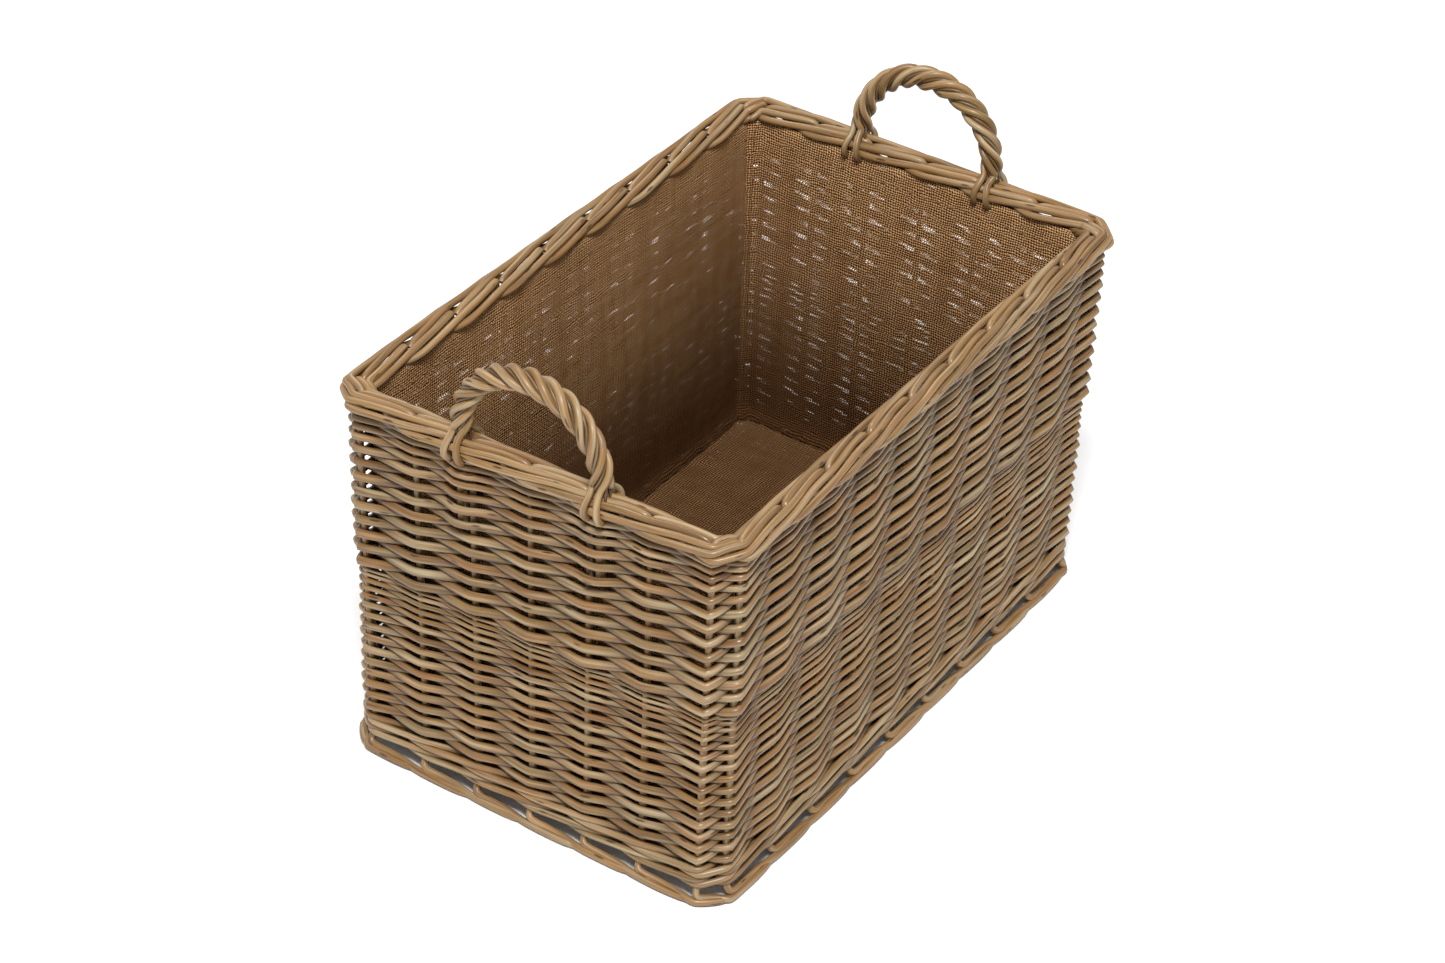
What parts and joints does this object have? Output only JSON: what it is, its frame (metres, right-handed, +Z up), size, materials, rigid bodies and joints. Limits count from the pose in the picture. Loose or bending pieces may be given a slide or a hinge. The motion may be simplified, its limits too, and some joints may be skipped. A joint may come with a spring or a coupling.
{
  "type": "log basket",
  "caption": "Rectangular willow log basket on a plaited foot border, with a plaited rim, rope-twist bow handles at both ends and a sewn-in hessian liner.",
  "frame": {"origin": "middle of the footprint, on the floor the foot border stands on", "axes": "+Z up, +X along the length of the basket towards one handle, +Y along its width"},
  "size_m": [0.6288, 0.4, 0.46],
  "materials": {
    "willow_stake": "satin",
    "willow_weave": "satin",
    "willow_border": "satin",
    "willow_handle": "satin",
    "willow_base": "satin",
    "hessian": "matt open weave",
    "linen_thread": "matt"
  },
  "bodies": {
    "root": {"base_stick_1": "willow_base", "base_stick_2": "willow_base", "base_stick_3": "willow_base", "base_stick_4": "willow_base", "base_stick_5": "willow_base", "base_stick_6": "willow_base", "base_stick_7": "willow_base", "base_weave": "willow_base", "foot_border": "willow_border", "handle_core_left": "willow_handle", "handle_core_right": "willow_handle", "handle_wrap_left": "willow_handle", "handle_wrap_right": "willow_handle", "hem_stitches": "linen_thread", "liner_back": "hessian", "liner_floor": "hessian", "liner_front": "hessian", "liner_hem": "hessian", "liner_left": "hessian", "liner_right": "hessian", "lower_rand_weave": "willow_weave", "rim_border": "willow_border", "stake_01": "willow_stake", "stake_02": "willow_stake", "stake_03": "willow_stake", "stake_04": "willow_stake", "stake_05": "willow_stake", "stake_06": "willow_stake", "stake_07": "willow_stake", "stake_08": "willow_stake", "stake_09": "willow_stake", "stake_10": "willow_stake", "stake_11": "willow_stake", "stake_12": "willow_stake", "stake_13": "willow_stake", "stake_14": "willow_stake", "stake_15": "willow_stake", "stake_16": "willow_stake", "stake_17": "willow_stake", "stake_18": "willow_stake", "stake_19": "willow_stake", "stake_20": "willow_stake", "stake_21": "willow_stake", "stake_22": "willow_stake", "stake_23": "willow_stake", "stake_24": "willow_stake", "stake_25": "willow_stake", "stake_26": "willow_stake", "stake_27": "willow_stake", "stake_28": "willow_stake", "stake_29": "willow_stake", "stake_30": "willow_stake", "stake_31": "willow_stake", "stake_32": "willow_stake", "stake_33": "willow_stake", "stake_34": "willow_stake", "upper_rand_weave": "willow_weave", "upsett_wale": "willow_weave"}
  },
  "joints": []
}
